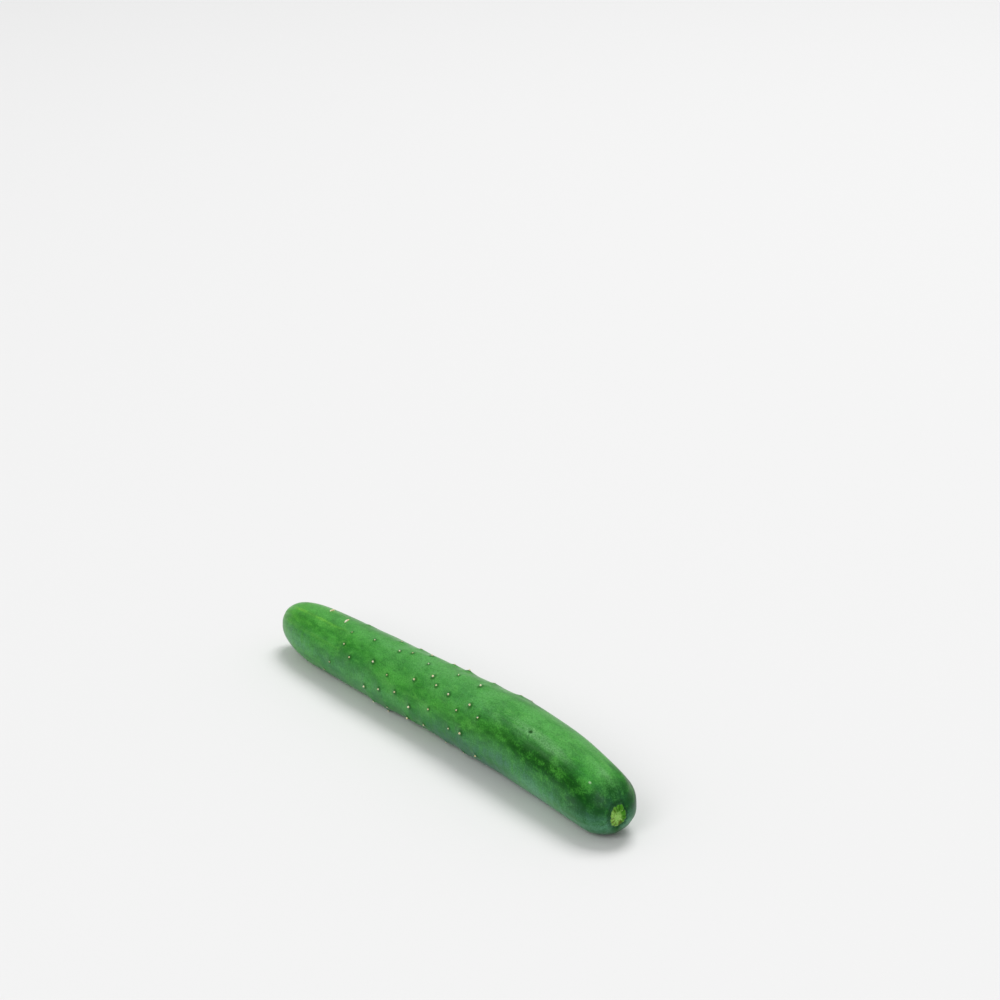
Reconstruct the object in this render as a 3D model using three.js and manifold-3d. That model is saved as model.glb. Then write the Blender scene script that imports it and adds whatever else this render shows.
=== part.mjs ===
// A Japanese cucumber: one whole fruit, as picked, lying on its side on a table.
// Millimetres, +Z up. The fruit lies along X with its stem end at +X, and it bows a little
// sideways, in Y. The origin is on the table, under the middle of the fruit's box.
//
// The fruit is one piece: a long round body whose radius is raised and lowered by formulas
// (three lobes, ten faint ribs, soft swellings, a mound under every wart), with the small
// warts and their spines fused to it, a stem scar at one end, a flower scar at the other,
// and a narrow flat underneath, where it rests.

import * as THREE from "three";
import { mergeVertices } from "three/addons/utils/BufferGeometryUtils.js";
import Module from "manifold-3d";

// The fruit's outline. Radii are at even stations from the flower end to the stem end.
const LENGTH = 230;
const GIRTH = [11.9, 12.4, 13.2, 13.6, 14.5, 13.9, 11.2];
const FLOWER_DOME = { length: 35.8, power: 2.46 };
const STEM_DOME = { length: 14.1, power: 1.95 };

// The sideways bend: a bow over the whole length, and a swing that puts most of it near the stem.
const BOW = 3.6;
const SWING = 4.6;

// What brings the middle of the fruit's box over the origin.
const SHIFT = { x: -0.3, y: -3.79 };

// The flat underneath: how deep it is cut, and how wide the plain skin around it is.
const SEAT_DEPTH = 0.25;
const SEAT_ANGLE = 0.3;

// Relief on the skin.
const LOBE_HEIGHT = 0.3;
const RIBS = 10;
const RIB_HEIGHT = 0.06;
const RIB_HEIGHT_AT_STEM = 0.12;
const RIBS_RISE_FROM = 65;
const SWELLING_HEIGHT = 0.09;
const MOUND_HEIGHT = 0.6;
const MOUND_RADIUS = 3;

// Warts stand in rows, in shares of the length: none at first, then plenty, then none again.
// The first ones are also smaller, by WART_START.
const WART_SEED = 1323;
const WART_SHARES = [0.08, 0.4, 0.62, 0.74];
const WART_START = 0.4;
const WART_STEP = 0.05;
const WART_DRIFT = 0.5;
const WART_CLEARANCE = 0.15;
const WART_LEAST_SIZE = 0.45;
const WART_SIZES = [0.55, 1.3];

// One wart: a low pimple that carries a short, blunt spine. Radii, and heights above the skin.
const PIMPLE_RADIUS = 1.8;
const PIMPLE_HEIGHT = 0.3;
const SPINE_RADIUS = 0.38;
const SPINE_TIP = 0.65;
const ROOT_DEPTH = 1.1;
const WART_SIDES = 6;

// The two end faces: [radius, lift along the fruit, scallop], read from the outside in.
const SCALLOPS = 10;
const STEM_FACE = [
  [5.8, 0, 0],
  [4.4, -0.45, 0],
  [3.7, 0.15, 0.07],
  [2.9, 0.25, 0.1],
  [2.1, -0.1, 0.16],
  [1, -0.2, 0],
];
const FLOWER_FACE = [
  [4.4, 0, 0],
  [2.7, 0.1, 0],
  [1.9, -0.3, 0.08],
  [1, -0.25, 0],
];

// The stem scar is an oval a little off the tip: where its middle lies, how much it is squashed
// and along which angle, and the radii between which the rings come to follow it.
const SCAR_SIDE = -1.2;
const SCAR_UP = 0.8;
const SCAR_SQUASH = 0.26;
const SCAR_TURN = THREE.MathUtils.degToRad(113);
const SCAR_REACH = [5, 9];

// How finely the body is faceted.
const SIDES = 40;
const DOME_RINGS = 9;
const RING_STEP = 2.6;

const SKIN = { color: 0x458a3b, roughness: 0.42, metalness: 0 };

const TURN = 2 * Math.PI;
const HALF = LENGTH / 2;

// A repeatable random draw between 0 and 1.
function seeded(seed) {
  let state = seed;
  return () => {
    state = (state * 16807) % 2147483647;
    return state / 2147483647;
  };
}

// The radius of the undomed body at a distance along X, on a smooth curve through GIRTH.
function girth(x) {
  const last = GIRTH.length - 1;
  const place = THREE.MathUtils.clamp(x / LENGTH + 0.5, 0, 1) * last;
  const i = Math.min(Math.floor(place), last - 1);
  const t = place - i;
  const before = i > 0 ? GIRTH[i - 1] : 2 * GIRTH[0] - GIRTH[1];
  const after = i + 2 <= last ? GIRTH[i + 2] : 2 * GIRTH[last] - GIRTH[last - 1];
  const [b, c] = [GIRTH[i], GIRTH[i + 1]];
  const linear = c - before;
  const square = 2 * before - 5 * b + 4 * c - after;
  const cube = 3 * b - before - 3 * c + after;
  return 0.5 * (2 * b + linear * t + square * t * t + cube * t * t * t);
}

// The share of that radius which the rounded ends leave.
function domeShare(x) {
  const round = (inset, dome) => {
    const left = 1 - Math.min(1, inset / dome.length);
    return Math.pow(1 - Math.pow(left, dome.power), 1 / dome.power);
  };
  return round(x + HALF, FLOWER_DOME) * round(HALF - x, STEM_DOME);
}

// How far a rounded end has drawn in at a share of the full radius.
function domeInset(dome, share) {
  const left = Math.pow(1 - Math.pow(Math.min(1, share), dome.power), 1 / dome.power);
  return dome.length * (1 - left);
}

// A point of the fruit's middle line, and the line's direction in plan.
function middle(x) {
  const w = x / HALF;
  const y = SHIFT.y + BOW * (1 - w * w) + SWING * (w - w * w * w);
  const slope = (-2 * BOW * w + SWING * (1 - 3 * w * w)) / HALF;
  const forward = new THREE.Vector3(1, slope, 0).normalize();
  const point = new THREE.Vector3(x + SHIFT.x, y, girth(x) - SEAT_DEPTH);
  return { point, forward };
}

// The way out of the skin at an angle round the middle line. Angle 0 is up.
function outward(x, angle) {
  const { forward } = middle(x);
  const side = new THREE.Vector3(-forward.y, forward.x, 0);
  return side.multiplyScalar(Math.sin(angle)).setZ(Math.cos(angle));
}

// The smaller turn between two angles.
function turnBetween(a, b) {
  return Math.atan2(Math.sin(a - b), Math.cos(a - b));
}

// The broad, soft rise of the skin under one wart.
function mound(wart, x, angle) {
  const along = (x - wart.x) / MOUND_RADIUS;
  const across = (turnBetween(angle, wart.angle) * girth(x)) / MOUND_RADIUS;
  return wart.size * MOUND_HEIGHT * Math.exp(-along * along - across * across);
}

// The height of the skin over the plain body. It fades out at both tips and over the flat.
function relief(x, angle, dome, warts) {
  const { lerp, smoothstep } = THREE.MathUtils;
  const ribs = lerp(RIB_HEIGHT, RIB_HEIGHT_AT_STEM, smoothstep(x, RIBS_RISE_FROM, HALF));
  const swellings =
    Math.sin(x / 8.5 + 2 * Math.cos(angle) + 0.6) +
    0.8 * Math.sin(x / 4.7 - 1.5 * Math.sin(angle + 0.9)) +
    0.5 * Math.sin(3 * angle - x / 13);
  const plain = Math.pow(turnBetween(angle, Math.PI) / SEAT_ANGLE, 2);
  let height = LOBE_HEIGHT * Math.cos(3 * angle + 0.7);
  height += ribs * Math.cos(RIBS * angle);
  height += SWELLING_HEIGHT * swellings;
  for (const wart of warts) height += mound(wart, x, angle);
  return height * dome * (1 - Math.exp(-plain));
}

// The largest wart that stands clear of the table at a place on the skin.
function roomForWart(x, angle) {
  if (Math.cos(angle) >= 0) return Infinity;
  const foot = girth(x) * (1 + domeShare(x) * Math.cos(angle)) - SEAT_DEPTH;
  return (foot - WART_CLEARANCE) / (-Math.cos(angle) * (SPINE_TIP + MOUND_HEIGHT));
}

// How likely a place along the fruit is to carry a wart.
function wartChance(share) {
  const [none, plenty, fewer, noneAgain] = WART_SHARES;
  const { smoothstep } = THREE.MathUtils;
  return smoothstep(share, none, plenty) * (1 - smoothstep(share, fewer, noneAgain));
}

// Where the warts stand: a row between every two ribs, at uneven steps and a little off the line.
function placeWarts() {
  const { lerp, smoothstep } = THREE.MathUtils;
  const random = seeded(WART_SEED);
  const warts = [];
  for (let row = 0; row < RIBS; row += 1) {
    let share = WART_SHARES[0];
    while (share < WART_SHARES.at(-1)) {
      share += WART_STEP * (0.5 + random());
      const x = (share - 0.5) * LENGTH;
      const angle = ((row + 0.5) * TURN) / RIBS + (random() - 0.5) * WART_DRIFT;
      const grown = lerp(WART_START, 1, smoothstep(share, WART_SHARES[0], WART_SHARES[1]));
      const size = Math.min(grown * lerp(...WART_SIZES, random()), roomForWart(x, angle));
      const grows = random() < wartChance(share);
      if (grows && size > WART_LEAST_SIZE) warts.push({ x, angle, size });
    }
  }
  return warts;
}

// The rings of one end, from the full body in to the tip.
function endRings(dome, face, radius) {
  const rings = [];
  const addRing = (share, lift, scallop) => {
    rings.push({ inset: domeInset(dome, share), share, lift, scallop });
  };
  const faceTurn = Math.asin(Math.pow(face[0][0] / radius, dome.power / 2));
  for (let i = 0; i < DOME_RINGS; i += 1) {
    const turn = THREE.MathUtils.lerp(TURN / 4, faceTurn, i / DOME_RINGS);
    addRing(Math.pow(Math.sin(turn), 2 / dome.power), 0, 0);
  }
  for (const [r, lift, scallop] of face) addRing(r / radius, lift, scallop);
  return rings;
}

// Every ring of the body, in order along X.
function allRings() {
  const flower = endRings(FLOWER_DOME, FLOWER_FACE, GIRTH[0]).reverse();
  const stem = endRings(STEM_DOME, STEM_FACE, GIRTH.at(-1));
  const from = FLOWER_DOME.length - HALF;
  const to = HALF - STEM_DOME.length;
  const steps = Math.round((to - from) / RING_STEP);
  const rings = flower.map((ring) => ({ ...ring, x: ring.inset - HALF, lift: -ring.lift }));
  for (let i = 1; i < steps; i += 1) {
    rings.push({ x: THREE.MathUtils.lerp(from, to, i / steps), share: 1, lift: 0, scallop: 0 });
  }
  for (const ring of stem) rings.push({ ...ring, x: HALF - ring.inset });
  return rings;
}

// How far a point of a ring slides over the stem's dome to follow the oval of the scar.
function towardsScar(ring, angle) {
  const full = GIRTH.at(-1);
  const radius = Math.min(full, full * ring.share);
  const follow = ring.x > 0 ? 1 - THREE.MathUtils.smoothstep(radius, ...SCAR_REACH) : 0;
  const squash = SCAR_SQUASH * radius * Math.cos(angle - SCAR_TURN);
  const side = follow * (SCAR_SIDE - squash * Math.sin(SCAR_TURN));
  const up = follow * (SCAR_UP - squash * Math.cos(SCAR_TURN));
  const reached = Math.hypot(radius * Math.sin(angle) + side, radius * Math.cos(angle) + up);
  const back = domeInset(STEM_DOME, reached / full) - domeInset(STEM_DOME, radius / full);
  return { side, up, back: follow > 0 ? back : 0 };
}

// A point of the skin on a ring.
function skinPoint(ring, angle, warts) {
  const { point, forward } = middle(ring.x);
  const body = girth(ring.x) * ring.share * (1 + ring.scallop * Math.cos(SCALLOPS * angle));
  const radius = body + relief(ring.x, angle, ring.share, warts);
  const { side, up, back } = towardsScar(ring, angle);
  point.z += up;
  return point
    .addScaledVector(outward(ring.x, angle), radius)
    .addScaledVector(outward(ring.x, TURN / 4), side)
    .addScaledVector(forward, ring.lift - back);
}

// The body as one closed mesh: rings of points, joined by strips and closed by a fan at each tip.
function bodyGeometry(warts) {
  const rings = allRings();
  const positions = [];
  const faces = [];
  for (const ring of rings) {
    for (let side = 0; side < SIDES; side += 1) {
      positions.push(...skinPoint(ring, (side * TURN) / SIDES, warts).toArray());
    }
  }
  const lastRing = positions.length / 3 - SIDES;
  for (let start = 0; start < lastRing; start += SIDES) {
    for (let side = 0; side < SIDES; side += 1) {
      const a = start + side;
      const b = start + ((side + 1) % SIDES);
      faces.push(a, a + SIDES, b, b, a + SIDES, b + SIDES);
    }
  }
  for (const ring of [rings[0], rings.at(-1)]) {
    const atStem = ring.x > 0;
    const tip = { ...ring, x: atStem ? HALF : -HALF, share: 0 };
    const centre = positions.length / 3;
    const start = atStem ? lastRing : 0;
    positions.push(...skinPoint(tip, 0, warts).toArray());
    for (let side = 0; side < SIDES; side += 1) {
      const edge = [start + side, start + ((side + 1) % SIDES)];
      if (atStem) edge.reverse();
      faces.push(...edge, centre);
    }
  }
  const geometry = new THREE.BufferGeometry();
  geometry.setAttribute("position", new THREE.Float32BufferAttribute(positions, 3));
  return geometry.setIndex(faces);
}

// One wart with its spine, standing on the skin with its root well inside.
function wartGeometry(wart, warts) {
  const ring = { x: wart.x, share: domeShare(wart.x), lift: 0, scallop: 0 };
  const foot = skinPoint(ring, wart.angle, warts);
  const profile = [
    new THREE.Vector2(0, -ROOT_DEPTH),
    new THREE.Vector2(PIMPLE_RADIUS, -ROOT_DEPTH),
    new THREE.Vector2(SPINE_RADIUS, PIMPLE_HEIGHT),
    new THREE.Vector2(0, SPINE_TIP),
  ];
  const geometry = new THREE.LatheGeometry(profile, WART_SIDES);
  const up = new THREE.Vector3(0, 1, 0);
  const stand = new THREE.Quaternion().setFromUnitVectors(up, outward(wart.x, wart.angle));
  geometry.scale(wart.size, wart.size, wart.size);
  return geometry.applyQuaternion(stand).translate(foot.x, foot.y, foot.z);
}

const wasm = await Module();
wasm.setup();

// A closed mesh as a solid that can be joined and cut.
function solid(geometry) {
  const bare = geometry.clone();
  bare.deleteAttribute("normal");
  bare.deleteAttribute("uv");
  const merged = mergeVertices(bare, 1e-4);
  return new wasm.Manifold(
    new wasm.Mesh({
      numProp: 3,
      vertProperties: merged.attributes.position.array,
      triVerts: new Uint32Array(merged.index.array),
    }),
  );
}

// A solid as a geometry to draw.
function drawn(made) {
  const mesh = made.getMesh();
  const geometry = new THREE.BufferGeometry();
  geometry.setAttribute("position", new THREE.BufferAttribute(mesh.vertProperties, 3));
  geometry.setIndex(new THREE.BufferAttribute(mesh.triVerts, 1));
  geometry.computeVertexNormals();
  return geometry;
}

// The whole fruit: body and warts joined, then cut off flat at the table.
function cucumber() {
  const warts = placeWarts();
  let fruit = solid(bodyGeometry(warts));
  for (const wart of warts) fruit = fruit.add(solid(wartGeometry(wart, warts)));
  const depth = 20;
  const table = new THREE.BoxGeometry(1.2 * LENGTH, LENGTH / 2, depth);
  table.translate(0, 0, -depth / 2);
  const made = fruit.subtract(solid(table));
  const mesh = new THREE.Mesh(drawn(made), new THREE.MeshStandardMaterial(SKIN));
  mesh.name = "cucumber";
  return mesh;
}

const group = new THREE.Group();
group.add(cucumber());

export default group;
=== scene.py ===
"""The looks of a Japanese cucumber: its skin, spines, stem scar and flower scar, on a pale floor.

Sizes named here are millimetres, as in the fruit's own drawing; Blender's are metres. The angle
round the fruit is 0 on top. A share along it is 0 at the flower end and 1 at the stem end.
"""

import math
from types import SimpleNamespace

import bpy
import numpy as np
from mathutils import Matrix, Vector


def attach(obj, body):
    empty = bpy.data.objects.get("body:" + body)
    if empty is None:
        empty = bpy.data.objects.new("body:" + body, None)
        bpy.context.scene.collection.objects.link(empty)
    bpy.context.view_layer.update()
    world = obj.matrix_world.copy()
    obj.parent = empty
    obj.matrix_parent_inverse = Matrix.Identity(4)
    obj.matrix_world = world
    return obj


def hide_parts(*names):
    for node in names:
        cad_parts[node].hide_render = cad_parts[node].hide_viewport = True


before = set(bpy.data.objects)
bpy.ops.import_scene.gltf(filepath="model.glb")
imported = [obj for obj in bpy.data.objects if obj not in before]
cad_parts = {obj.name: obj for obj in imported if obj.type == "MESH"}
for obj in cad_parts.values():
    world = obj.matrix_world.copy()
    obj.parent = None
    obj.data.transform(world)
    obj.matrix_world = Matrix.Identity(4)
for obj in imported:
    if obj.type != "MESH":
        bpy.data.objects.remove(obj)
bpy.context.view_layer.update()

MM = 0.001
TURN = 2 * math.pi

# The fruit's outline, the same as its solid's: even stations of its radius, and two rounded ends
LENGTH = 230.0
HALF = LENGTH / 2
GIRTH = (11.9, 12.4, 13.2, 13.6, 14.5, 13.9, 11.2)
FLOWER_DOME = {"length": 35.8, "power": 2.46}
STEM_DOME = {"length": 14.1, "power": 1.95}

# Its middle line bows to one side, swings, and is shifted to put the fruit's box over the origin
BOW = 3.6
SWING = 4.6
SHIFT_X = -0.3
SHIFT_Y = -3.79

# The underside is sunk by this much and cut flat, and nothing stands out within this angle of it
SEAT_DEPTH = 0.25
SEAT_ANGLE = 0.3

# Relief: broad lobes, fine ribs that rise towards the stem, swellings, and a mound at every wart
LOBE_HEIGHT = 0.3
RIBS = 10
RIB_HEIGHT = 0.06
RIB_HEIGHT_AT_STEM = 0.12
RIBS_RISE_FROM = 65
SWELLING_HEIGHT = 0.09
MOUND_HEIGHT = 0.6
MOUND_RADIUS = 3.0

# Warts. Their shares along the fruit are where they start, are many, grow fewer and end
WART_SEED = 1323
WART_SHARES = (0.08, 0.4, 0.62, 0.74)
WART_START = 0.4
WART_STEP = 0.05
WART_DRIFT = 0.5
WART_CLEARANCE = 0.15
WART_LEAST_SIZE = 0.45
WART_SIZES = (0.55, 1.3)
PIMPLE_HEIGHT = 0.3
PIMPLE_RADIUS = 0.7
HALO_RADIUS = 1.25

# The spine on a wart of size 1. Its rings are shares of its radius, and heights over the skin
SPINE_RADIUS = 0.35
SPINE_ROOT = 0.3
SPINE_TIP = 0.65
SPINE_SIDES = 12
SPINE_RINGS = ((1.0, -0.3), (0.98, 0.25), (0.82, 0.45), (0.45, 0.6))

# Two more spines lie flat: distance along X and degrees round. They are turned from the fruit's
# length, drawn out and flattened
LYING_SPINES = ((-83.8, 6.0), (-69.1, 355.0))
LYING_TURN = math.radians(105)
LYING_SIZE = 1.25
LYING_STRETCH = 2.4
LYING_FLATTENING = 0.3

# One small healed pit with a pale rim, and one pale speck, placed in the same way
PIT = (64.0, 328.0)
PIT_RADIUS = 0.9
PIT_DEPTH = 0.5
PIT_RIM_HEIGHT = 0.15
SPECK = (103.9, 325.0)
SPECK_RADIUS = 0.42
SPECK_HEIGHT = 0.12

# The stem's scar is an oval beside the tip, and the skin slides along with it within its reach
SCAR_SIDE = -1.2
SCAR_UP = 0.8
SCAR_SQUASH = 0.26
SCAR_TURN = math.radians(113)
SCAR_REACH = (5.0, 9.0)

# The end faces, as steps of radius and lift along the fruit, and the ridges on the stem's one
STEM_FACE = (
    (5.8, 0.0), (4.4, -0.45), (3.7, 0.15), (2.9, 0.25), (2.1, -0.1), (1.0, -0.2), (0.0, 0.0),
)
FLOWER_FACE = ((4.4, 0.0), (2.7, 0.1), (1.9, -0.3), (1.0, -0.25), (0.0, -0.25))
SCALLOPS = 10
RIDGE_HEIGHT = 0.12
FAR_FROM_SCAR = 99.0

# Marks along the fruit, in degrees round: the first of three dark bands, the frosted streak
# beside it, and the clearest of the yellow lines at the flower end
DARK_BAND = 295.0
FROST = 328.0
YELLOW_LINE = 333.0

# How far round the waxy haze, with its painted reflection of the floor, drifts off the dark bands
# near the flower end, on their own wave
WAX_DRIFT = 1.8

# Distances along X between which the flower end turns yellower and its tip gets streaks
FLOWER_END = (-68.0, -112.0)
FLOWER_TIP = (-114.5, -98.0)

# The radius of the even round skin on which lengthwise streaks are drawn
STREAK_RADIUS = 13.0

# How finely the skin is drawn
SIDES = 220
DOME_RINGS = 40
BODY_RINGS = 270
FACE_RINGS = 36
SMALLEST_RING = 0.12

# The photograph's view, fitted to the fruit's outline: the camera's place, how many degrees it
# looks down and is turned, and its focal length as a share of the picture's width
CAMERA_PLACE = (760.9, -505.6, 421.7)
CAMERA_DOWN = 19.52
CAMERA_TURN = 54.98
CAMERA_FOCAL = 2.555
SENSOR_WIDTH = 36


def seeded(seed):
    """A repeatable random draw between 0 and 1, the same one as the solid's."""
    state = seed
    while True:
        state = state * 16807 % 2147483647
        yield state / 2147483647


def smooth(value, low, high):
    """0 below low, 1 above high, and a smooth rise between."""
    t = np.clip((value - low) / (high - low), 0, 1)
    return t * t * (3 - 2 * t)


def bell(value, centre, width):
    """1 at the centre, with a smooth fall to nothing on both sides."""
    return np.exp(-(((value - centre) / width) ** 2))


def turn_between(a, b):
    """The smaller turn between two angles."""
    return np.arctan2(np.sin(a - b), np.cos(a - b))


def girth(x):
    """The radius of the undomed body at a distance along X."""
    stations = np.array((2 * GIRTH[0] - GIRTH[1],) + GIRTH + (2 * GIRTH[-1] - GIRTH[-2],))
    last = len(GIRTH) - 1
    place = np.clip(x / LENGTH + 0.5, 0, 1) * last
    i = np.minimum(np.floor(place), last - 1).astype(int)
    t = place - i
    a, b, c, d = (stations[i + k] for k in range(4))
    square = 2 * a - 5 * b + 4 * c - d
    cube = 3 * b - a - 3 * c + d
    return 0.5 * (2 * b + (c - a) * t + square * t**2 + cube * t**3)


def dome_share(x):
    """The share of that radius which the rounded ends leave."""

    def rounded(inset, dome):
        left = 1 - np.clip(inset / dome["length"], 0, 1)
        return (1 - left ** dome["power"]) ** (1 / dome["power"])

    return rounded(x + HALF, FLOWER_DOME) * rounded(HALF - x, STEM_DOME)


def dome_inset(dome, share):
    """How far a rounded end has drawn in at a share of the full radius."""
    return dome["length"] * (1 - (1 - np.clip(share, 0, 1) ** dome["power"]) ** (1 / dome["power"]))


def middle(x):
    """Points of the middle line, and its direction in plan."""
    w = x / HALF
    y = SHIFT_Y + BOW * (1 - w**2) + SWING * (w - w**3)
    slope = (-2 * BOW * w + SWING * (1 - 3 * w**2)) / HALF
    size = np.sqrt(1 + slope**2)
    points = np.stack([x + SHIFT_X, y, girth(x) - SEAT_DEPTH], -1)
    forward = np.stack([1 / size, slope / size, np.zeros_like(x)], -1)
    return points, forward


def outward(x, angle):
    """The way out of the skin at an angle round the middle line."""
    forward = middle(x)[1]
    sine = np.sin(angle)
    parts = (-forward[..., 1] * sine, forward[..., 0] * sine, np.cos(angle))
    return np.stack(np.broadcast_arrays(*parts), -1)


def room_for_wart(x, angle):
    """The largest wart that stands clear of the table at a place on the skin."""
    if math.cos(angle) >= 0:
        return math.inf
    foot = girth(x) * (1 + dome_share(x) * math.cos(angle)) - SEAT_DEPTH
    return (foot - WART_CLEARANCE) / (-math.cos(angle) * (SPINE_TIP + MOUND_HEIGHT))


def wart_chance(share):
    """How likely a place along the fruit is to carry a wart."""
    none, plenty, fewer, none_again = WART_SHARES
    return smooth(share, none, plenty) * (1 - smooth(share, fewer, none_again))


def place_warts():
    """Where the warts stand: (x, angle, size), in a row between every two ribs."""
    draw = seeded(WART_SEED)
    warts = []
    for row in range(RIBS):
        share = WART_SHARES[0]
        while share < WART_SHARES[-1]:
            share += WART_STEP * (0.5 + next(draw))
            x = np.float64((share - 0.5) * LENGTH)
            angle = (row + 0.5) * TURN / RIBS + (next(draw) - 0.5) * WART_DRIFT
            grown = WART_START + (1 - WART_START) * smooth(share, WART_SHARES[0], WART_SHARES[1])
            size = min(grown * np.interp(next(draw), (0, 1), WART_SIZES), room_for_wart(x, angle))
            grows = next(draw) < wart_chance(share)
            if grows and size > WART_LEAST_SIZE:
                warts.append((x, angle, size))
    return warts


WARTS = place_warts()


def bump_field(x, angle, radius):
    """Soft bumps of one radius at every wart, each as high as its wart is large."""
    field = np.zeros(np.broadcast(x, angle).shape)
    around = girth(x)
    for wart_x, wart_angle, size in WARTS:
        along = (x - wart_x) / radius
        across = turn_between(angle, wart_angle) * around / radius
        field += size * np.exp(-(along**2) - across**2)
    return field


def relief(x, angle, share):
    """The height of the skin over the plain body, without the pimples."""
    ribs = RIB_HEIGHT + (RIB_HEIGHT_AT_STEM - RIB_HEIGHT) * smooth(x, RIBS_RISE_FROM, HALF)
    swellings = (
        np.sin(x / 8.5 + 2 * np.cos(angle) + 0.6)
        + 0.8 * np.sin(x / 4.7 - 1.5 * np.sin(angle + 0.9))
        + 0.5 * np.sin(3 * angle - x / 13)
    )
    height = LOBE_HEIGHT * np.cos(3 * angle + 0.7)
    height = height + ribs * np.cos(RIBS * angle)
    height = height + SWELLING_HEIGHT * swellings
    height = height + MOUND_HEIGHT * bump_field(x, angle, MOUND_RADIUS)
    return height * share * (1 - bell(turn_between(angle, math.pi), 0, SEAT_ANGLE))


def skin_rings():
    """Every ring along the fruit: its distance along X, and its share of the full radius."""
    rings = []
    for end, dome, face in ((-1, FLOWER_DOME, FLOWER_FACE), (1, STEM_DOME, STEM_FACE)):
        tip_radius = GIRTH[0] if end < 0 else GIRTH[-1]
        edge = face[0][0]
        face_radii = np.linspace(SMALLEST_RING, edge, FACE_RINGS, endpoint=False)
        start = math.asin((edge / tip_radius) ** (dome["power"] / 2))
        turns = np.concatenate([
            np.arcsin((face_radii / tip_radius) ** (dome["power"] / 2)),
            np.linspace(start, math.pi / 2, DOME_RINGS),
        ])
        inset = dome["length"] * (1 - np.cos(turns) ** (2 / dome["power"]))
        share = np.sin(turns) ** (2 / dome["power"])
        x = end * (HALF - inset)
        rings.append((x, share) if end < 0 else (x[::-1], share[::-1]))
    between = np.linspace(rings[0][0][-1], rings[1][0][0], BODY_RINGS + 2)[1:-1]
    x = np.concatenate([rings[0][0], between, rings[1][0]])
    share = np.concatenate([rings[0][1], np.ones(BODY_RINGS), rings[1][1]])
    return x, share


def towards_scar(x, share, angle):
    """How far ring points slide over the stem's dome to follow the oval of the scar."""
    full = GIRTH[-1]
    radius = full * share
    follow = np.where(x > 0, 1 - smooth(radius, *SCAR_REACH), 0)
    squash = SCAR_SQUASH * radius * np.cos(angle - SCAR_TURN)
    side = follow * (SCAR_SIDE - squash * math.sin(SCAR_TURN))
    up = follow * (SCAR_UP - squash * math.cos(SCAR_TURN))
    reached = np.hypot(radius * np.sin(angle) + side, radius * np.cos(angle) + up)
    back = dome_inset(STEM_DOME, reached / full) - dome_inset(STEM_DOME, share)
    return side, up, np.where(follow > 0, back, 0)


def uneven(angle):
    """An angle swung to and fro, so that even steps round a scar become uneven ones."""
    return angle + 0.16 * np.sin(3 * angle + 0.5) + 0.1 * np.sin(5 * angle + 2)


def scar_edge(angle):
    """The uneven, scalloped edge of a scar, as shares of its radius."""
    depth = 0.08 + 0.05 * np.sin(2 * angle + 2.6)
    scallops = depth * np.abs(np.cos(SCALLOPS * uneven(angle) / 2)) + 0.025 * np.sin(17 * angle)
    lobe = 0.1 * bell(turn_between(angle, 0.5), 0, 0.3)
    dent = 0.13 * bell(turn_between(angle, -0.25), 0, 0.28)
    oval = 0.05 * np.cos(2 * angle + 0.4) + 0.03 * np.cos(3 * angle + 1)
    return 0.95 + scallops + lobe - dent + oval


def face_profile(radius, face):
    """The lift of an end face at a radius, on a smooth curve through its steps."""
    radii = np.array([step[0] for step in reversed(face)])
    lifts = np.array([step[1] for step in reversed(face)])
    i = np.clip(np.searchsorted(radii, radius, side="right") - 1, 0, len(radii) - 2)
    return lifts[i] + (lifts[i + 1] - lifts[i]) * smooth(radius, radii[i], radii[i + 1])


def end_faces(x, ring_radius, angle):
    """Every place's distance from the middle of each scar, and the lift of the end faces there."""
    edge = scar_edge(angle)
    scar = np.where(x > 0, ring_radius / edge, FAR_FROM_SCAR)
    flower = np.where(x < 0, ring_radius / edge, FAR_FROM_SCAR)
    ridges = RIDGE_HEIGHT * np.cos(SCALLOPS * uneven(angle)) * smooth(scar, 0.6, 2.2)
    ridges = ridges * (1 - smooth(scar, 3.1, 3.9))
    stem_lift = face_profile(scar, STEM_FACE) + ridges
    flower_lift = -face_profile(flower, FLOWER_FACE)
    return scar, flower, np.where(x > 0, stem_lift, flower_lift)


def reach_from(mark, x, angle, radius):
    """How far a place is from a mark on the skin, in shares of a radius."""
    along = (x - mark[0]) / radius
    across = turn_between(angle, math.radians(mark[1])) * girth(x) / radius
    return np.hypot(along * 0.7, across)


def band_waves(x, angle, share):
    """Two waves round the fruit, from 0 to 1: its dark bands, and where the waxy haze and its
    painted reflection keep off.
    """
    wander = 0.35 * np.sin(x / 19 + 0.7) + 0.2 * np.sin(x / 7.3 + 2 * np.sin(angle))
    turn = 3 * (angle - math.radians(DARK_BAND)) + wander
    drift = WAX_DRIFT * (1 - smooth(share, 0.1, 0.4))
    return 0.5 + 0.5 * np.cos(turn), 0.5 + 0.5 * np.cos(turn - drift)


def stem_zones(share, low, band):
    """Where the fruit is dark towards its stem, its own dark green with painted shade on its lower
    side; the dome at its stem; and the paler, bluer underside by it, a waxy haze that is partly a
    painted reflection of the pale floor.
    """
    dome = smooth(share, 0.947 - 0.087 * smooth(low, 0.1, 0.35), 0.985)
    # Paler, bluer underside near the stem: a waxy haze, partly a painted reflection of the pale
    # floor
    underside_bloom_and_reflection = smooth(low, 0.48, 0.72) * smooth(share, 0.67, 0.83)
    underside_bloom_and_reflection = underside_bloom_and_reflection * (1 - 0.5 * smooth(share, 0.93, 0.975))
    dark = band ** (2 + 1.6 * smooth(share, 0.65, 0.85)) * smooth(share, 0.55, 0.86)
    dark = np.maximum(dark, 0.95 * dome)
    # Painted shade: darker on the lower side towards the stem
    painted_underside_shade = 0.85 * low * smooth(share, 0.6, 0.93)
    dark = np.minimum(dark + painted_underside_shade, 1) * (1 - 0.6 * underside_bloom_and_reflection)
    return dark, dome, underside_bloom_and_reflection


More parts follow.
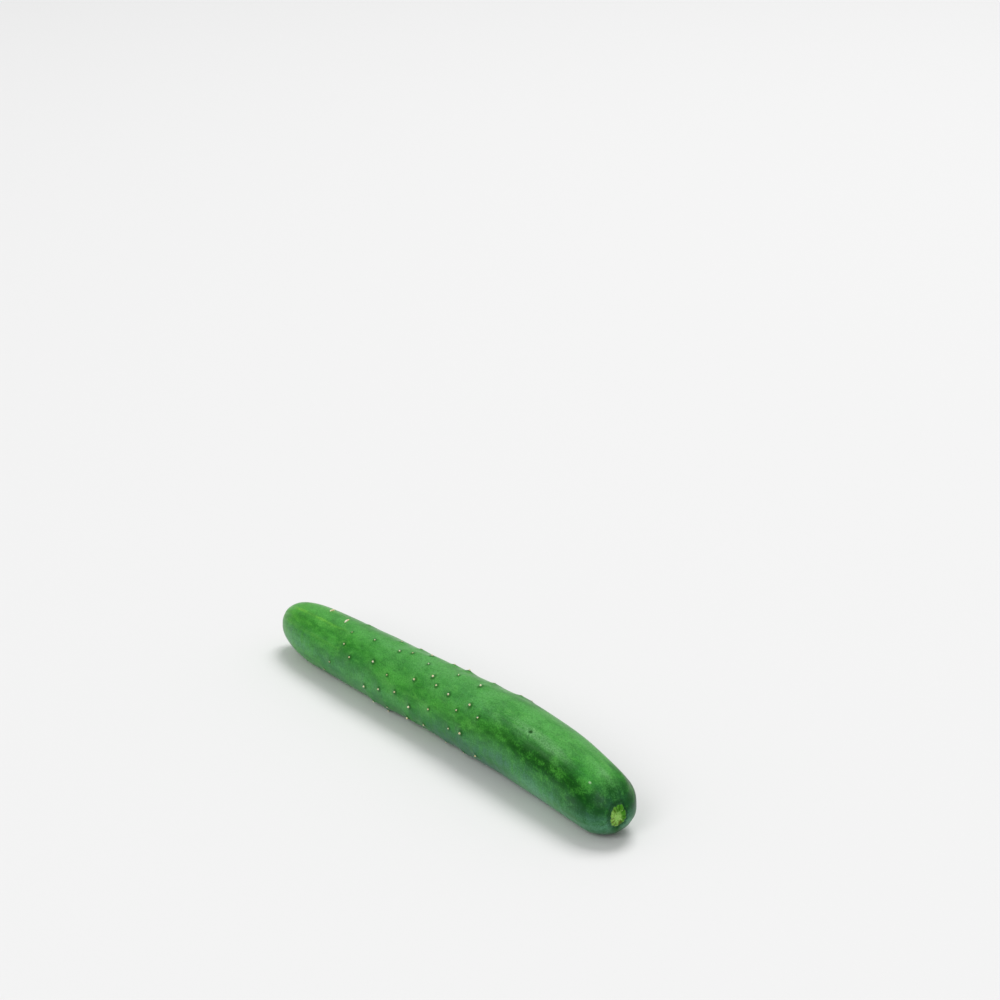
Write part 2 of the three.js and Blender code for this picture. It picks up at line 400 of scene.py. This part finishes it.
def zones(x, angle):
    """How strongly each change of the skin's colour shows at a place, mostly from 0 to 1."""
    share = x / LENGTH + 0.5
    low = 0.5 - 0.5 * np.cos(angle)
    band, clear = band_waves(x, angle, share)
    dark, dome, underside_bloom_and_reflection = stem_zones(share, low, band)
    # Paler, bluer underside at the flower tip: a waxy haze, partly a painted reflection of the pale
    # floor
    tip_bloom_and_reflection = smooth(low, 0.2, 0.5) * (1 - smooth(share, 0.08, 0.22))
    # Bluish waxy haze, strongest on the lower side: the skin's own haze and a painted reflection of
    # the pale floor
    wax_and_reflection = 0.8 + 0.9 * smooth(share, 0.45, 0.62) * (1 - 0.5 * smooth(share, 0.8, 0.95))
    wax_and_reflection = wax_and_reflection + 0.4 * (1 - smooth(share, 0.08, 0.25))
    wax_and_reflection = (1 - clear**2.5) * low**0.8 * wax_and_reflection
    pale_flank = low * bell(share, 0.29, 0.09)
    # Painted sheen: the top made paler towards the middle of the fruit
    painted_top_sheen = (1 - low) * bell(share, 0.46, 0.2)
    shade = (0.5 + 0.5 * np.cos(TURN * (share - 0.14) / 0.46 + 0.3 * np.sin(angle))) ** 2
    frost = bell(turn_between(angle, math.radians(FROST)), 0, 0.25)
    frost = frost * smooth(share, 0.6, 0.78) * (1 - smooth(share, 0.85, 0.93))
    return {
        "dark": dark,
        # The stem's dome: its own darker green, painted darker on its lower side as shade
        "dome": dome * (0.4 + 0.6 * low),
        "wax_and_reflection": wax_and_reflection + 0.2 * smooth(share, 0.95, 1.0),
        "underside_bloom_and_reflection": np.maximum(underside_bloom_and_reflection, tip_bloom_and_reflection),
        # Paler skin: a painted sheen on the top away from the dark bands, and a paler patch low on
        # the side at about 29% along
        "pale": (1 - band) * (1 - low) + pale_flank + 0.6 * painted_top_sheen,
        "shade": shade * smooth(low, 0.02, 0.35),
        "frost": frost,
    }


def yellow_lines(x, angle):
    """Thin pale lines that run from the flower end, one to every rib, uneven in length."""
    share = x / LENGTH + 0.5
    turn = angle - math.radians(YELLOW_LINE)
    reach = 0.19 + 0.05 * np.cos(turn) + 0.04 * np.cos(2 * turn + 1.3)
    line = bell(turn_between(RIBS * turn, 0), 0, 0.5)
    line = line * (0.35 + 0.65 * smooth(np.cos(turn), 0.8, 1.0))
    return line * (1 - smooth(share, reach - 0.13, reach + 0.03)) * smooth(share, 0.0, 0.05)


def skin_arrays():
    """The skin's points in millimetres, and what its material needs to know at each of them."""
    x, share = skin_rings()
    x = x[:, None]
    share = share[:, None]
    angle = np.linspace(0, TURN, SIDES, endpoint=False)[None, :]
    ring_radius = girth(x) * share
    wart = bump_field(x, angle, PIMPLE_RADIUS)
    pit_reach = reach_from(PIT, x, angle, PIT_RADIUS)
    hollow = bell(pit_reach, 0, 1)
    pit_rim = bell(pit_reach, 1.5, 0.5)
    speck = bell(reach_from(SPECK, x, angle, SPECK_RADIUS), 0, 1)
    radius = ring_radius + relief(x, angle, share) + PIMPLE_HEIGHT * wart
    radius = radius - PIT_DEPTH * hollow + PIT_RIM_HEIGHT * pit_rim + SPECK_HEIGHT * speck

    side, up, back = towards_scar(x, share, angle)
    side = side + radius * np.sin(angle)
    up = up + radius * np.cos(angle)
    scar, flower, lift = end_faces(x, ring_radius, angle)
    points, forward = middle(x)
    points = points + outward(x, np.full_like(x, TURN / 4)) * side[..., None]
    points = points + np.array([0, 0, 1]) * up[..., None] + forward * (lift - back)[..., None]
    points[..., 2] = np.maximum(points[..., 2], 0)

    even_place = (x, STREAK_RADIUS * np.sin(angle), STREAK_RADIUS * np.cos(angle))
    known = {
        "place": np.stack(np.broadcast_arrays(x, side, up), -1),
        "round": np.stack(np.broadcast_arrays(*even_place), -1),
        "wart": wart,
        "halo": bump_field(x, angle, HALO_RADIUS),
        "rim": pit_rim,
        "hollow": hollow,
        "speck": speck,
        "scar": scar,
        "notch": smooth(-np.cos(SCALLOPS * uneven(angle)), 0.2, 1.0),
        "dry": smooth(np.cos(angle + 2.2), -0.6, 0.7),
        "flower": flower,
        "yellow": yellow_lines(x, angle),
        "tip": 1 - smooth(x, *FLOWER_TIP),
        **zones(x, angle),
    }
    return points, known


def add_object(name, data):
    """A new object in the scene."""
    thing = bpy.data.objects.new(name, data)
    bpy.context.scene.collection.objects.link(thing)
    return thing


def smooth_mesh(name, vertices, faces):
    """A mesh that is shaded smoothly."""
    mesh = bpy.data.meshes.new(name)
    mesh.from_pydata(vertices, [], faces)
    mesh.polygons.foreach_set("use_smooth", [True] * len(mesh.polygons))
    mesh.update()
    return mesh


def skin_mesh(points, known):
    """The skin's closed mesh, from rings of points with a fan at each end."""
    rings, sides = points.shape[:2]
    index = np.arange(rings * sides).reshape(rings, sides)
    turned = np.roll(index, -1, axis=1)
    quads = np.stack([index[:-1], index[1:], turned[1:], turned[:-1]], -1).reshape(-1, 4)
    caps = points.mean(axis=1)[[0, -1]]
    first_cap = rings * sides
    fans = np.concatenate([
        np.stack([index[0], turned[0], np.full(sides, first_cap)], -1),
        np.stack([turned[-1], index[-1], np.full(sides, first_cap + 1)], -1),
    ])
    vertices = np.concatenate([points.reshape(-1, 3), caps]) * MM
    mesh = smooth_mesh("cucumber_skin", vertices.tolist(), quads.tolist() + fans.tolist())
    for key, values in known.items():
        ends = values.mean(axis=1)[[0, -1]]
        if values.ndim == 3:
            flat = np.concatenate([values.reshape(-1, 3), ends]).ravel()
            mesh.attributes.new(key, "FLOAT_VECTOR", "POINT").data.foreach_set("vector", flat)
        else:
            values = np.broadcast_to(values, (rings, sides))
            flat = np.concatenate([values.ravel(), ends])
            mesh.attributes.new(key, "FLOAT", "POINT").data.foreach_set("value", flat)
    return mesh


class Value:
    """A shader socket that takes part in Python arithmetic."""

    def __init__(self, nodes, socket):
        self.nodes = nodes
        self.socket = socket

    def __add__(self, other):
        return self.nodes.math("ADD", self, other)

    def __sub__(self, other):
        return self.nodes.math("SUBTRACT", self, other)

    def __rsub__(self, other):
        return self.nodes.math("SUBTRACT", other, self)

    def __mul__(self, other):
        return self.nodes.math("MULTIPLY", self, other)

    __radd__ = __add__
    __rmul__ = __mul__


class Nodes:
    """One material's node tree."""

    def __init__(self, name):
        self.material = bpy.data.materials.new(name)
        self.material.use_nodes = True
        self.tree = self.material.node_tree
        self.shader = self.tree.nodes["Principled BSDF"]

    def fill(self, socket, value):
        """Give a socket its link or its number."""
        if isinstance(value, Value):
            self.tree.links.new(value.socket, socket)
        else:
            socket.default_value = value

    def add(self, kind, settings, *values, output=0, **named):
        """Any node: its type, its settings, and the values or links of its sockets."""
        node = self.tree.nodes.new(kind)
        for key, setting in settings.items():
            setattr(node, key, setting)
        for i, value in enumerate(values):
            self.fill(node.inputs[i], value)
        for key, value in named.items():
            self.fill(node.inputs[key.replace("_", " ")], value)
        return Value(self, node.outputs[output])

    def set(self, **named):
        """Values or links of the shader's own sockets."""
        for key, value in named.items():
            self.fill(self.shader.inputs[key.replace("_", " ")], value)

    def math(self, operation, a, b):
        """A sum, difference or product of two numbers."""
        return self.add("ShaderNodeMath", {"operation": operation}, a, b)

    def known(self, name, output="Fac"):
        """What the mesh knows at each point."""
        return self.add("ShaderNodeAttribute", {"attribute_name": name}, output=output)

    def scaled(self, vector, scale):
        """A vector with each of its parts scaled."""
        return self.add("ShaderNodeVectorMath", {"operation": "MULTIPLY"}, vector, scale)

    def noise(self, vector, scale, detail, roughness):
        """Even noise between 0 and 1."""
        values = {"Vector": vector, "Scale": scale, "Detail": detail, "Roughness": roughness}
        return self.add("ShaderNodeTexNoise", {}, **values)

    def ease(self, value, low, high, start=0.0, end=1.0):
        """A smooth step from start to end as value goes from low to high."""
        settings = {"interpolation_type": "SMOOTHSTEP"}
        return self.add("ShaderNodeMapRange", settings, value, low, high, start, end)

    def mix(self, factor, a, b):
        """Two colours mixed. A Mix node's sockets for colours are known by their numbers."""
        node = self.tree.nodes.new("ShaderNodeMix")
        node.data_type = "RGBA"
        for socket, value in ((0, factor), (6, a), (7, b)):
            self.fill(node.inputs[socket], value)
        return Value(self, node.outputs[2])


def srgb(red, green, blue):
    """A colour from its 0 to 255 screen values."""

    def linear(value):
        v = value / 255
        return v / 12.92 if v <= 0.04045 else ((v + 0.055) / 1.055) ** 2.4

    return linear(red), linear(green), linear(blue), 1.0


def skin_noises(n):
    """The noises that the skin is drawn with, stretched along the fruit or round it."""
    place = n.known("place", output="Vector")
    around = n.known("round", output="Vector")
    return SimpleNamespace(
        place=place,
        clouds=n.noise(n.scaled(place, (0.6, 1.0, 1.0)), 0.05, 2.0, 0.5),
        patches=n.noise(n.scaled(place, (0.45, 1.0, 1.0)), 0.13, 3.0, 0.55),
        mottle=n.noise(n.scaled(place, (0.45, 1.0, 1.0)), 0.34, 4.0, 0.58),
        grain=n.noise(place, 1.7, 3.0, 0.65),
        veins=n.noise(place, 0.8, 4.0, 0.7),
        streaks=n.noise(n.scaled(around, (0.05, 1.0, 1.0)), 0.5, 3.0, 0.55),
        film=n.noise(n.scaled(around, (0.22, 1.0, 1.0)), 0.2, 5.0, 0.65),
        wipes=n.noise(n.scaled(around, (1.0, 0.22, 0.22)), 0.5, 4.0, 0.6),
    )


def mottled_green(n, noises):
    """The green of the fruit, in light and dark patches, streaks and mottles, with painted shade in
    stretches along its sides and a painted sheen that makes its top paler.
    """
    patches = noises.patches
    mottle = noises.mottle
    colour = n.mix(n.ease(patches, 0.38, 0.62), srgb(38, 130, 27), srgb(72, 169, 50))
    colour = n.mix(n.ease(noises.clouds, 0.35, 0.6, 0.25, 0.0), colour, srgb(30, 112, 20))
    shade = n.known("shade") * n.ease(patches, 0.6, 0.4, 0.3, 0.75)
    colour = n.mix(shade, colour, srgb(30, 108, 24))
    colour = n.mix(n.ease(mottle, 0.5, 0.68) * 0.7, colour, srgb(86, 174, 62))
    colour = n.mix(n.ease(mottle, 0.48, 0.32) * 0.6, colour, srgb(22, 100, 18))
    colour = n.mix(n.ease(noises.streaks, 0.5, 0.7) * 0.3, colour, srgb(92, 176, 60))
    # The painted sheen on the top, with a paler patch low on the side
    pale = n.known("pale") * n.ease(patches, 0.3, 0.7, 0.35, 0.75)
    return n.mix(pale, colour, srgb(90, 166, 86))


def ends_over(n, noises, colour):
    """The yellower flower end with its thin lines, and at the stem the dark bands and dome: the
    fruit's own dark green, with a painted reflection of the room's darker side on the front band
    and painted shade on the lower side.
    """
    mottle = noises.mottle
    along = n.add("ShaderNodeSeparateXYZ", {}, noises.place)
    flower_end = n.ease(along, *FLOWER_END) * n.ease(mottle, 0.3, 0.7, 0.3, 0.7)
    colour = n.mix(flower_end, colour, srgb(78, 168, 38))
    yellow = n.known("yellow") * n.ease(mottle, 0.3, 0.6, 0.15, 0.6)
    colour = n.mix(yellow, colour, srgb(120, 194, 62))
    # Dark bands: the stem end's own dark green, with a painted reflection of the room's darker side
    # on the front band and painted shade on the lower side
    dark = n.known("dark") * n.ease(mottle + noises.grain * 0.6, 1.02, 0.7, 0.38, 1.0)
    colour = n.mix(dark * 0.97, colour, srgb(3, 66, 3))
    # The stem's dome, painted darker on its lower side as shade
    return n.mix(n.known("dome") * 0.8, colour, srgb(12, 66, 26))


def bloom_and_reflection_over(n, noises, colour):
    """The bluish waxy haze, partly wiped off and on the lower side partly a painted reflection of
    the pale floor, the frosted streak, and a fine grain on top.
    """
    film = noises.film
    wax_and_reflection = n.known("wax_and_reflection") * n.ease(film + noises.wipes, 0.75, 1.25, 0.35, 1.0)
    # Bluer and paler on the underside: the skin's waxy haze with a painted reflection of the pale
    # floor
    bloom_and_reflection = n.mix(n.known("underside_bloom_and_reflection"), srgb(70, 120, 98), srgb(102, 162, 124))
    colour = n.mix(wax_and_reflection * 0.85, colour, bloom_and_reflection)
    light_skin = 1 - n.known("dark") * 0.7
    colour = n.mix(light_skin * n.ease(film, 0.55, 0.8) * 0.2, colour, srgb(104, 176, 112))
    frost = n.known("frost") * n.ease(noises.streaks + film, 0.8, 1.25, 0.1, 0.6)
    colour = n.mix(frost, colour, srgb(132, 184, 130))
    colour = n.mix(n.ease(noises.grain, 0.36, 0.58, 0.42, 0.0), colour, srgb(22, 84, 18))
    light_grain = light_skin * n.ease(noises.grain, 0.58, 0.76)
    return n.mix(light_grain * 0.42, colour, srgb(110, 180, 90))


def marks_over(n, noises, colour):
    """The darker ring round every wart, the healed pit with its pale rim, and the pale speck."""
    ring = n.ease(n.known("halo"), 0.15, 0.6) * (1 - n.ease(n.known("wart"), 0.55, 0.95))
    colour = n.mix(ring * 0.6, colour, srgb(22, 78, 20))
    pit_rim = n.known("rim") * n.ease(noises.grain, 0.4, 0.65)
    colour = n.mix(pit_rim * 0.7, colour, srgb(130, 190, 126))
    colour = n.mix(n.ease(n.known("hollow"), 0.3, 0.8) * 0.8, colour, srgb(14, 66, 14))
    return n.mix(n.ease(n.known("speck"), 0.1, 0.8) * 0.6, colour, srgb(190, 216, 178))


def stem_scar_over(n, noises, colour):
    """The stem's scar: pale veined flesh, drier on one side, with dark notches in its edge, and
    painted shade in the groove round it.
    """
    scar = n.known("scar")
    dry = n.known("dry")
    veins = noises.veins
    edge = n.mix(dry, srgb(66, 132, 26), srgb(122, 170, 72))
    flesh = n.mix(n.ease(scar - dry, 0.5, 2.3), srgb(140, 190, 92), edge)
    flesh = n.mix(n.ease(veins, 0.52, 0.66) * 0.7, flesh, srgb(60, 112, 24))
    flesh = n.mix(n.ease(veins, 0.45, 0.32) * 0.6, flesh, srgb(172, 208, 128))
    notches = n.ease(scar, 1.7, 2.6) * n.ease(scar, 4.1, 3.5) * n.known("notch")
    notch_colour = n.mix(dry, srgb(40, 92, 14), srgb(74, 70, 20))
    flesh = n.mix(notches * 0.8, flesh, notch_colour)
    # Painted shade in the groove round the scar
    colour = n.mix(n.ease(scar, 6.0, 4.3) * 0.6, colour, srgb(24, 66, 34))
    return n.mix(n.ease(scar, 4.05, 3.75), colour, flesh)


def flower_scar_over(n, noises, colour):
    """The streaks at the tip of the flower end, and the cork of its scar."""
    tip = n.known("tip")
    flower = n.known("flower")
    streaks = noises.streaks
    colour = n.mix(tip * n.ease(streaks, 0.44, 0.62) * 0.4, colour, srgb(128, 182, 132))
    colour = n.mix(tip * n.ease(streaks, 0.46, 0.34) * 0.4, colour, srgb(36, 104, 44))
    cork = n.mix(n.ease(noises.veins, 0.35, 0.65), srgb(118, 96, 52), srgb(190, 170, 116))
    colour = n.mix(n.ease(flower, 5.0, 2.6) * 0.5, colour, srgb(136, 176, 84))
    return n.mix(n.ease(flower, 2.5, 2.1), colour, cork)


def skin_material():
    """Waxy green skin: mottled, darker in bands at the stem, yellower at the flower end."""
    n = Nodes("cucumber_skin")
    noises = skin_noises(n)
    colour = mottled_green(n, noises)
    for layer in (ends_over, bloom_and_reflection_over, marks_over, stem_scar_over, flower_scar_over):
        colour = layer(n, noises, colour)
    height = noises.mottle * 0.5 + noises.grain * 0.35 + noises.streaks * 0.3
    n.set(
        Base_Color=colour,
        Roughness=n.ease(noises.film, 0.3, 0.75, 0.36, 0.5),
        Normal=n.add("ShaderNodeBump", {}, Strength=0.3, Distance=0.0003, Height=height),
        IOR=1.45,
        Specular_IOR_Level=0.05,
        Coat_Weight=0.5,
        Coat_Roughness=0.3,
        Coat_IOR=1.2,
        Subsurface_Weight=0.08,
        Subsurface_Radius=(0.4, 1.0, 0.2),
        Subsurface_Scale=0.001,
    )
    return n.material


def spine_material():
    """Dry, pale cream spines."""
    n = Nodes("spine_tips")
    speckle = n.noise(n.add("ShaderNodeTexCoord", {}, output="Object"), 900.0, 2.0, 0.5)
    n.set(
        Base_Color=n.mix(n.ease(speckle, 0.4, 0.6), srgb(214, 200, 150), srgb(244, 238, 208)),
        Roughness=0.55,
        Subsurface_Weight=0.2,
        Subsurface_Radius=(1.0, 0.8, 0.4),
        Subsurface_Scale=0.0005,
    )
    return n.material


def spine(foot, out, forward, size):
    """One short, blunt spine: its points and its faces."""
    side = np.cross(out, forward)
    points = [foot - SPINE_ROOT * size * out]
    for share, height in SPINE_RINGS:
        for turn in np.arange(SPINE_SIDES) * TURN / SPINE_SIDES:
            round_it = forward * math.cos(turn) + side * math.sin(turn)
            points.append(foot + (out * height + round_it * share * SPINE_RADIUS) * size)
    points.append(foot + out * SPINE_TIP * size)
    last = len(points) - 1
    faces = []
    for k in range(SPINE_SIDES):
        after = (k + 1) % SPINE_SIDES
        faces.append((0, 1 + after, 1 + k))
        for row in range(len(SPINE_RINGS) - 1):
            a = 1 + row * SPINE_SIDES
            faces.append((a + k, a + after, a + SPINE_SIDES + after, a + SPINE_SIDES + k))
        faces.append((last - SPINE_SIDES + k, last - SPINE_SIDES + after, last))
    return points, faces


def lying_spine(foot, out, forward):
    """One spine that lies flat on the skin, as a long bead."""
    points, faces = spine(foot, out, forward, LYING_SIZE)
    along = forward * math.cos(LYING_TURN) + np.cross(out, forward) * math.sin(LYING_TURN)
    bead = []
    for point in points:
        offset = point - foot
        drawn_out = along * (offset @ along) * LYING_STRETCH
        bead.append(point + drawn_out - out * (offset @ out) * LYING_FLATTENING)
    return bead, faces


def spines_mesh():
    """A pale spine on every wart, and two more that lie on the skin."""
    parts = [(spine, x, angle, (size,)) for x, angle, size in WARTS]
    parts += [(lying_spine, x, math.radians(degrees), ()) for x, degrees in LYING_SPINES]
    vertices = []
    faces = []
    for make, x, angle, extra in parts:
        at = np.array(x)
        out = outward(at, angle)
        share = dome_share(at)
        centre, forward = middle(at)
        foot = centre + out * (girth(at) * share + relief(at, angle, share))
        points, own_faces = make(foot, out, forward, *extra)
        faces += [tuple(len(vertices) + i for i in face) for face in own_faces]
        vertices += [tuple(point * MM) for point in points]
    return smooth_mesh("cucumber_spines", vertices, faces)


def cucumber():
    """The fruit: its skin and its spines stand for the solid."""
    skin = add_object("cucumber_skin", skin_mesh(*skin_arrays()))
    skin.data.materials.append(skin_material())
    tips = add_object("cucumber_spines", spines_mesh())
    tips.data.materials.append(spine_material())
    for piece in (skin, tips):
        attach(piece, "root")
        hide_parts("cucumber")


def floor():
    """A plain pale floor, large enough to fill every view."""
    reach = 6.0
    corners = [(-reach, -reach, 0), (reach, -reach, 0), (reach, reach, 0), (-reach, reach, 0)]
    piece = add_object("floor", smooth_mesh("floor", corners, [(0, 1, 2, 3)]))
    n = Nodes("pale_floor")
    n.set(Base_Color=(0.8, 0.8, 0.8, 1), Roughness=0.7, Specular_IOR_Level=0.2)
    piece.data.materials.append(n.material)


def soft_light(name, place, size, watts):
    """A square softbox that faces the fruit."""
    data = bpy.data.lights.new(name, "AREA")
    data.size = size
    data.energy = watts
    lamp = add_object(name, data)
    lamp.location = place
    lamp.rotation_euler = (-Vector(place)).to_track_quat("-Z", "Y").to_euler()


def lights():
    """Soft studio light from above and a little behind, a weaker fill, and a bright room."""
    soft_light("key_light", (-1.0, 1.8, 4.2), size=2.4, watts=130)
    soft_light("fill_light", (1.6, -3.0, 2.4), size=2.0, watts=60)
    world = bpy.data.worlds.new("bright_room")
    world.use_nodes = True
    background = world.node_tree.nodes["Background"]
    background.inputs["Color"].default_value = (1, 1, 1, 1)
    background.inputs["Strength"].default_value = 0.45
    bpy.context.scene.world = world


def camera():
    """The photograph's view, from about a metre away."""
    data = bpy.data.cameras.new("camera")
    data.sensor_width = SENSOR_WIDTH
    data.lens = SENSOR_WIDTH * CAMERA_FOCAL
    data.clip_start = 0.05
    view = add_object("camera", data)
    x, y, z = CAMERA_PLACE
    view.location = ((x + SHIFT_X) * MM, (y + SHIFT_Y) * MM, (z - SEAT_DEPTH) * MM)
    view.rotation_euler = (math.radians(90 - CAMERA_DOWN), 0, math.radians(CAMERA_TURN))
    bpy.context.scene.camera = view


camera()
cucumber()
floor()
lights()
bpy.context.scene.view_settings.view_transform = "Standard"
